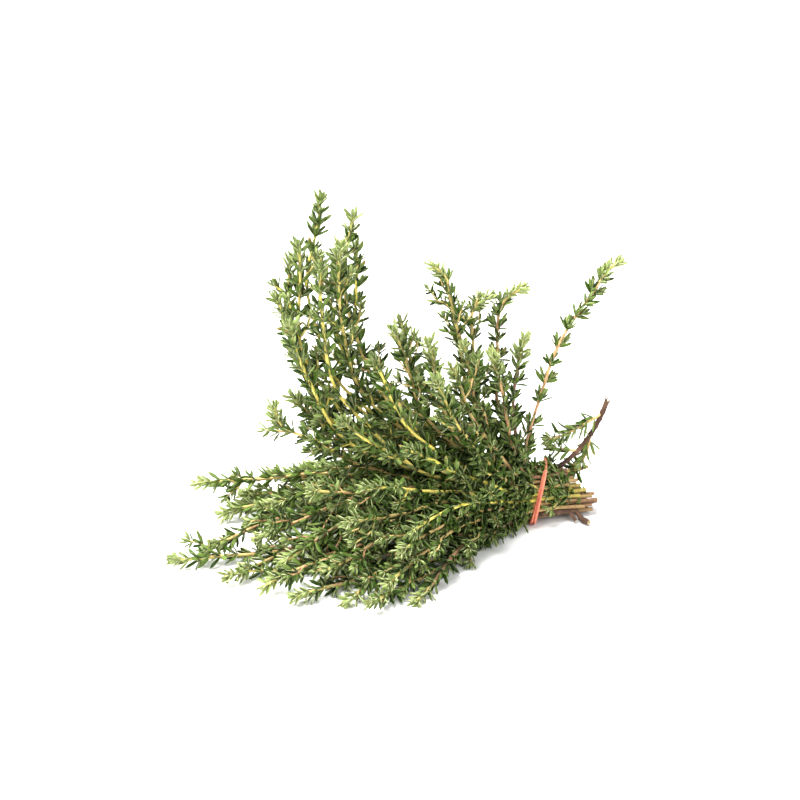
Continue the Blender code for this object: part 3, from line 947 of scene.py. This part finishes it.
# The bud's pairs: how far back from the tip, length for a full leaf's, and lean. Then how far its leaves
# are rooted from the stem's middle, and how far chance turns, lengthens and leans them.
BUD_PAIRS = ((0.0, 0.5, 14), (0.5, 0.66, 30), (1.0, 0.8, 46))
BUD_ROOT = 0.2
BUD_TURN = 0.2
BUD_LENGTHS = (0.85, 1.12)
BUD_LEANS = (0.7, 1.25)


def dress_bud(growth, draw, points, frames, turn, leaf_length, youth, name):
    """Closes a stem's tip with a loose rosette of small leaves that stand up round it."""
    last = len(points) - 1
    own = (name, f"{name} bud")
    for pair, (back, share, lean) in enumerate(BUD_PAIRS):
        middle, (along, side, outward) = at(points, frames, last - back)
        for half_turn in (0, math.pi):
            angle = turn + pair * math.pi / 2 + half_turn + draw.gauss(0, BUD_TURN)
            out = side * math.cos(angle) + outward * math.sin(angle)
            length = leaf_length * share * draw.uniform(*BUD_LENGTHS)
            leaf = (length, TUFT_SLIMNESS * leaf_length * share ** 0.5)
            steep = lean * draw.uniform(*BUD_LEANS)
            stand_leaf(growth, draw, "bud", middle + out * BUD_ROOT, along, out, steep, leaf, youth, own)


def gained(back, start, gain, length):
    """A value that gains with the distance back from a tip, until a length away."""
    return start + gain * smooth_step(back / length)


# A side shoot: how far its leaves start below its tip, how far chance moves each, how young its bark is
# at its foot and tip, its tufts' pairs, its leaves' lean, and how they gain in length from the tip.
SHOOT_SPIN = 3
SHOOT_BARE_TIP = 2.4
SHOOT_GAPS = (0.8, 1.15)
SHOOT_BARK = (0.45, 0.95)
SHOOT_FULLNESS = 0.9
SHOOT_LEAN = 46
SHOOT_LEAF_GAIN = (0.75, 0.25, 6)
SHOOT_BUD_YOUTH = 0.25


def grow_shoot(growth, draw, name, points, widths, tone, leaf_length, youth, gap, first):
    """A small side shoot along its own points: stem, leaf pairs from its first node on, and a bud."""
    frames = frames_along(points, draw.uniform(0, SHOOT_SPIN))
    last = len(points) - 1
    nodes = []
    place = last - SHOOT_BARE_TIP
    while place > first:
        nodes.append(place)
        place -= gap * draw.uniform(*SHOOT_GAPS)
    add_stem(growth, points, frames, nodes, widths, (tone, tone), SHOOT_BARK)
    for place in range(0, last + 1, 2):
        take(points[place], widths[0] / 2, name)
    for count, node in enumerate(nodes):
        turn = count * math.pi / 2
        length = leaf_length * gained(last - node, *SHOOT_LEAF_GAIN)
        dress_node(growth, draw, points, frames, node, turn, length, SHOOT_FULLNESS, youth, SHOOT_LEAN, name)
    bud_youth = min(1.0, youth + SHOOT_BUD_YOUTH)
    dress_bud(growth, draw, points, frames, len(nodes) * math.pi / 2, leaf_length, bud_youth, name)


# A side shoot's course in degrees: its lean from the stem at its foot and at its end, the swing that it
# makes on the way, and its wave.
BRANCH_START = 55.0
BRANCH_ENDS = (0.0, 32.0)
BRANCH_SWING = 36.0
BRANCH_WAVE = 14.0
BRANCH_WAVE_STEP = 0.7


def branch_points(draw, root, along, out, length):
    """The points of a side shoot that leaves its stem outwards and curves off beside it."""
    points = [root]
    end = draw.uniform(*BRANCH_ENDS)
    swing = draw.uniform(-BRANCH_SWING, BRANCH_SWING)
    phase = draw.uniform(0, FULL_TURN)
    for step in range(length):
        t = step / length
        wave = BRANCH_WAVE * math.sin(phase + BRANCH_WAVE_STEP * step)
        lean = BRANCH_START + (end - BRANCH_START) * t + wave
        points.append(points[-1] + leaned(along, out, lean, swing * t)[0])
    return points


# A sprig's leaf pairs: where they start and stop, how the gap between them gains from the tip, where it
# widens on a steep stem, how far chance moves each, and the gaps behind the tie and just before it.
BARE_TIP = 3.2
BARE_CUT = 2
GAP_GAIN = (0.5, 0.5, 18)
WIDENED_FROM = 15
WIDENED_OVER = 60
STEEP_FROM = 0.4
STEEP_OVER = 0.4
GAP_CHANCE = (0.78, 1.22)
CROWDED = 22.0
CUT_GAP = 3.4
TIE_GAP = 4.6
BAND_ROOM = 2.0

# How the leaves gain in length and lean from the tip, and how they lean behind the tie and before it.
LEAF_GAIN = (0.78, 0.22, 14)
TIP_LEAN = 24
LEAN_GAIN_LENGTH = 12
CUT_LEAN = 56
TIE_LEAN = 36
TIE_LEAN_GAIN = 14
YOUNG_LENGTH = 16.0
YOUTH_CHANCE = 0.15

# The stem's width at the cut and at the tip, and its bark's tones.
STEM_WIDTHS = (1.45, 1.05)
OLD_WIDTH = 2.1
OLD_TONES = (1.0, 0.8)
CUT_TONE_CHANCE = (-0.1, 0.25)

# The side shoots: how far from the tip they start, their share of the nodes near the tie, their lengths,
# how much one may rise from a lying stem, the room that it needs, and its own build.
BRANCHED_FROM = 14.0
TIE_BRANCHING = 0.7
BRANCH_LENGTHS = (8, 18)
TIE_BRANCH_LENGTHS = (6, 10)
SHOOT_RISE = 5.0
LYING = 0.3
ROOM_AT_POINT = 5
ROOM_THERE = 0.4
ROOM_AT_END = 0.6
SHOOT_HEIGHT = 1.5
SHOOT_LEAF = 0.86
SHOOT_WIDTHS = (0.75, 0.5)
SHOOT_YOUTH = 0.1
SHOOT_GAP = 0.8
SHOOT_FIRST = 2.5


def leaf_pair_places(draw, frames, tie, low_gap, tip_gap):
    """Where a sprig's leaf pairs stand, from the tip back to the cut."""
    last = len(frames) - 1
    nodes = []
    back = BARE_TIP
    while back < last - BARE_CUT:
        nodes.append(last - back)
        steep = frames[int(last - back)][0].z
        lower = smooth_step((back - WIDENED_FROM) / WIDENED_OVER)
        gap = tip_gap + (low_gap - tip_gap) * lower * smooth_step((steep - STEEP_FROM) / STEEP_OVER)
        if last - back < tie + CROWDED:
            gap = CUT_GAP if last - back < tie else TIE_GAP
        back += gap * gained(back, *GAP_GAIN) * draw.uniform(*GAP_CHANCE)
    return nodes


def grow_sprig(growth, draw, name, points, frames, tie, habit):
    """The stem of a sprig with everything that stands on it, from its bud back to its cut end."""
    low_gap, tip_gap, leaf_length, full_lean, fullness, branching, cut_leaves, barks, tip_youth = habit
    last = len(points) - 1
    old = name in (WOODY, SNAPPED)
    nodes = leaf_pair_places(draw, frames, tie, low_gap, tip_gap)
    tone = draw.uniform(*barks)
    tones = OLD_TONES if old else (min(1.0, tone + draw.uniform(*CUT_TONE_CHANCE)), tone)
    widths = (OLD_WIDTH if old else STEM_WIDTHS[0], STEM_WIDTHS[1])
    add_stem(growth, points, frames, nodes, widths, tones, (0.0, 1.0))
    turn = draw.uniform(0, math.pi)
    dress_bud(growth, draw, points, frames, turn, leaf_length, tip_youth, name)
    for count, node in enumerate(nodes):
        turn += math.pi / 2
        back = last - node
        beyond = node - tie
        youth = (1 - smooth_step(back / YOUNG_LENGTH)) * tip_youth + draw.uniform(0, YOUTH_CHANCE)
        length = leaf_length * gained(back, *LEAF_GAIN)
        lean = gained(back, TIP_LEAN, full_lean - TIP_LEAN, LEAN_GAIN_LENGTH)
        if abs(beyond) < BAND_ROOM:
            continue
        if beyond < 0:
            if draw.random() > cut_leaves or old:
                continue
            lean = CUT_LEAN
        elif beyond < CROWDED:
            lean = TIE_LEAN + TIE_LEAN_GAIN * beyond / CROWDED
        dress_node(growth, draw, points, frames, node, turn, length, fullness, youth, lean, name)
        if back < BRANCHED_FROM or draw.random() > (branching if beyond > CROWDED else TIE_BRANCHING):
            continue
        middle, (along, side, outward) = at(points, frames, node)
        shortest, longest = BRANCH_LENGTHS if beyond > CROWDED else TIE_BRANCH_LENGTHS
        for angle in (turn, turn + math.pi):
            out = side * math.cos(angle) + outward * math.sin(angle)
            path = branch_points(draw, middle, along, out, draw.randint(shortest, longest))
            room = min(room_at(path[ROOM_AT_POINT], ROOM_THERE, (name,)),
                       room_at(path[-1], ROOM_AT_END, (name,)))
            rises = path[-1].z - middle.z > SHOOT_RISE and along.z < LYING
            if room > 0 and not rises and min(point.z for point in path) > SHOOT_HEIGHT:
                shoot = f"{name} side {count} {angle > turn}"
                leaf = leaf_length * SHOOT_LEAF
                gap = tip_gap * SHOOT_GAP
                young = youth + SHOOT_YOUTH
                grow_shoot(growth, draw, shoot, path, SHOOT_WIDTHS, tone, leaf, young, gap, SHOOT_FIRST)
                break


def finished_sprig(name, growth, shade):
    """The mesh object of a sprig in metres, moved with the whole bundle, that replaces its node."""
    mesh = bpy.data.meshes.new(name)
    mesh.from_pydata([(point + CENTRING) * MM for point in growth["points"]], [], growth["faces"])
    for finish in (bark_finish, leaf_finishes[shade]):
        mesh.materials.append(finish)
    mesh.polygons.foreach_set("material_index", growth["finish"])
    for kind in MEASURES:
        mesh.attributes.new(kind, "FLOAT", "POINT").data.foreach_set("value", growth[kind])
    corners = np.zeros(len(mesh.loops), np.int32)
    mesh.loops.foreach_get("vertex_index", corners)
    wrap = np.array(growth["wrap"], np.float32)[corners]
    mesh.uv_layers.new(name="wrap").data.foreach_set("uv", wrap.ravel())
    mesh.shade_smooth()
    mesh.update()
    made = bpy.data.objects.new(f"fine_{name}", mesh)
    bpy.context.scene.collection.objects.link(made)
    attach(made, "root")
    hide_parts(name)


# ------------------------------------------------------------------------------------------------
# The sprigs themselves. Those on the table are leafy all along with tan and purple bark, and those
# that rise behind have longer bare stretches of yellow stem between their tufts.

# Gap between leaf pairs low down and at the tip, a leaf's length and its lean from the stem in degrees,
# pairs of leaves in an axil, share of nodes with a side shoot, share of nodes with leaves on the cut
# side, the range of bark tones, and how young the leaves at the tip look.
HABITS = {
    "floor_sprig": (6.2, 5.8, 7.2, 46, 1.8, 0.75, 0.00, (0.45, 0.75), 0.50),
    "low_sprig": (6.2, 5.8, 7.2, 46, 1.8, 0.75, 0.05, (0.45, 0.75), 0.60),
    "pile_sprig": (6.4, 5.8, 7.2, 44, 1.9, 0.70, 0.25, (0.40, 0.75), 0.60),
    "arched_sprig": (6.4, 6.0, 7.0, 44, 2.0, 0.75, 0.50, (0.42, 0.70), 0.50),
    "rising_sprig": (10.0, 6.6, 7.4, 35, 1.9, 0.50, 0.60, (0.00, 0.25), 0.35),
    "tall_sprig": (12.0, 7.0, 7.4, 32, 2.0, 0.20, 0.60, (0.00, 0.25), 0.30),
    "upright_sprig": (7.4, 6.4, 7.2, 37, 1.9, 0.75, 0.60, (0.05, 0.50), 0.50),
    "steep_sprig": (6.8, 6.2, 6.4, 42, 1.9, 0.75, 0.60, (0.35, 0.70), 0.65),
    "top_sprig": (10.0, 6.2, 6.8, 52, 3.2, 0.00, 1.00, (0.48, 0.60), 0.75),
}

# The shoots on the old wood: distance from the cut, heading, and rise leaving the wood, half way and at
# the tip, then length. The snapped cut end hangs in two prongs, the second from further up the stem.
SHOOTS = (
    (6, 4, -20, -18, 4, 27),
    (16, 10, -80, -72, -30, 14),
    (25, -14, 8, 10, 20, 12),
)
PRONG_FROM = 13
PRONG_LENGTH = 8
PRONG_WIDTHS = (1.6, 1.2)
PRONG_CLEARANCE = 0.7
PRONG_SPIN = 0.4
PRONG_TONES = (1.0, 0.9)
PRONG_YOUTHS = (0.0, 0.1)

# The widths, bark tone, leaf length, youth, gap and first leaf pair of the shoots on the old wood. Then
# the splinters at its cut: the turn round the stem, the lean and the length of each, and their build.
OLD_SHOOT = ((1.1, 0.7), 0.5, 6.8, 0.2, 2.9, 2.0)
SPLINTERS = ((0.3, 24, 5), (2.4, 17, 4), (4.4, 21, 4))
SPLINTER_ROOT = 0.5
SPLINTER_WIDTHS = (0.9, 0.25)
SPLINTER_TONES = (0.95, 1.0)
SPLINTER_YOUTHS = (0.0, 0.0)

# The room that a stem takes round its middle: at the cut, and how much less at the tip.
STEM_ROOM = 0.7
STEM_ROOM_LESS = 0.3
BAND_ROOM_SHARE = 0.6


def grow_old_wood(growth, draw, name, points, frames):
    """The torn splinters at the woody cut end, and its three leafy shoots."""
    inwards, side, outward = frames[0]
    for turn, lean, length in SPLINTERS:
        out = side * math.cos(turn) + outward * math.sin(turn)
        axis, _ = leaned(-inwards, out, lean, 0)
        splinter = [points[1] + out * SPLINTER_ROOT + axis * step for step in range(length)]
        splinter_frames = frames_along(splinter, turn)
        add_stem(growth, splinter, splinter_frames, [], SPLINTER_WIDTHS, SPLINTER_TONES, SPLINTER_YOUTHS)
    for from_cut, heading, rise_start, rise_half, rise_tip, length in SHOOTS:
        path = [points[from_cut]]
        for step in range(length):
            rise = bend(rise_start, rise_half, rise_tip, (step + 0.5) / length)
            path.append(path[-1] + direction(heading, rise))
        grow_shoot(growth, draw, name, path, *OLD_SHOOT)


def grow_prong(growth, points):
    """The second prong of the snapped cut end, beside the first and down to just above the table."""
    start = points[PRONG_FROM]
    prong = [start + SNAP_TURN.normalized() * step for step in range(PRONG_LENGTH)]
    prong = [point for point in prong if point.z > PRONG_WIDTHS[0] * PRONG_CLEARANCE][::-1]
    prong_frames = frames_along(prong, PRONG_SPIN)
    add_stem(growth, prong, prong_frames, [], PRONG_WIDTHS, PRONG_TONES, PRONG_YOUTHS)


sprigs = []
for row, (row_name, shade, plans) in enumerate(ROWS):
    for column, plan in enumerate(plans):
        name = f"{row_name}_{column + 1}"
        points, tie = sprig_path(name, row, column, plan, len(plans))
        frames = frames_along(points, random.Random(name).uniform(0, math.pi / 2))
        sprigs.append((name, row_name, shade, points, frames, tie))
        for place, point in enumerate(points):
            take(point, STEM_ROOM - STEM_ROOM_LESS * place / len(points), name)
for middle in band_course:
    take(middle, BAND_ROOM_SHARE * BAND_STRAND, "band")
for name, row_name, shade, points, frames, tie in sprigs:
    growth = {kind: [] for kind in ("points", "faces", "finish", "wrap") + MEASURES}
    draw = random.Random(f"leaves of {name}")
    if name == WOODY:
        grow_old_wood(growth, draw, name, points, frames)
    if name == SNAPPED:
        grow_prong(growth, points)
    grow_sprig(growth, draw, name, points, frames, tie, HABITS[row_name])
    finished_sprig(name, growth, shade)

# ------------------------------------------------------------------------------------------------
# The table, the light and the camera. A plain pale table under two soft lights from above, with a
# weaker one from the front, in a white room, so that only soft shadows lie close round the bundle.

TABLE_SIZE = 6.0
TABLE_COLOUR = (0.930, 0.930, 0.935)
TABLE_ROUGHNESS = 0.9
TABLE_SPECULAR = 0.1
ROOM_STRENGTH = 0.54

# Each light's place in metres, size and power. All are aimed at the bundle.
LIGHTS = {
    "top_light": ((-0.55, 0.25, 1.25), 1.5, 44.0),
    "key_light": ((-0.5, 0.1, 1.1), 0.7, 28.0),
    "front_light": ((0.2, -1.2, 0.9), 0.8, 11.0),
}

CAMERA_TURN = -22.0
CAMERA_RISE = 22.0
CAMERA_DISTANCE = 0.9
CAMERA_LENS = 96.4
CAMERA_SENSOR = 36.0
CAMERA_AIM = Vector((9.5, 19.0, 52.0)) * MM

bpy.ops.object.select_all(action="DESELECT")
bpy.ops.mesh.primitive_plane_add(size=TABLE_SIZE)
table = bpy.context.object
table.name = "table"
table_finish = bpy.data.materials.new("pale_table")
table_finish.use_nodes = True
table_shader = table_finish.node_tree.nodes["Principled BSDF"]
table_shader.inputs["Base Color"].default_value = (*TABLE_COLOUR, 1.0)
table_shader.inputs["Roughness"].default_value = TABLE_ROUGHNESS
table_shader.inputs["Specular IOR Level"].default_value = TABLE_SPECULAR
table.data.materials.append(table_finish)

for name, (place, size, power) in LIGHTS.items():
    light = bpy.data.lights.new(name, "AREA")
    light.size = size
    light.energy = power
    lamp = bpy.data.objects.new(name, light)
    lamp.location = place
    lamp.rotation_euler = (Vector(place) - CAMERA_AIM).to_track_quat("Z", "Y").to_euler()
    bpy.context.scene.collection.objects.link(lamp)

world = bpy.data.worlds.new("white_room")
world.use_nodes = True
world.node_tree.nodes["Background"].inputs["Color"].default_value = (1.0, 1.0, 1.0, 1.0)
world.node_tree.nodes["Background"].inputs["Strength"].default_value = ROOM_STRENGTH
bpy.context.scene.world = world
bpy.context.scene.view_settings.view_transform = "Standard"

camera = bpy.data.objects.new("camera", bpy.data.cameras.new("camera"))
turn = math.radians(CAMERA_TURN)
rise = math.radians(CAMERA_RISE)
back = Vector((math.sin(turn) * math.cos(rise), -math.cos(turn) * math.cos(rise), math.sin(rise)))
camera.location = CAMERA_AIM + back * CAMERA_DISTANCE
camera.rotation_euler = back.to_track_quat("Z", "Y").to_euler()
camera.data.lens = CAMERA_LENS
camera.data.sensor_width = CAMERA_SENSOR
bpy.context.scene.collection.objects.link(camera)
bpy.context.scene.camera = camera
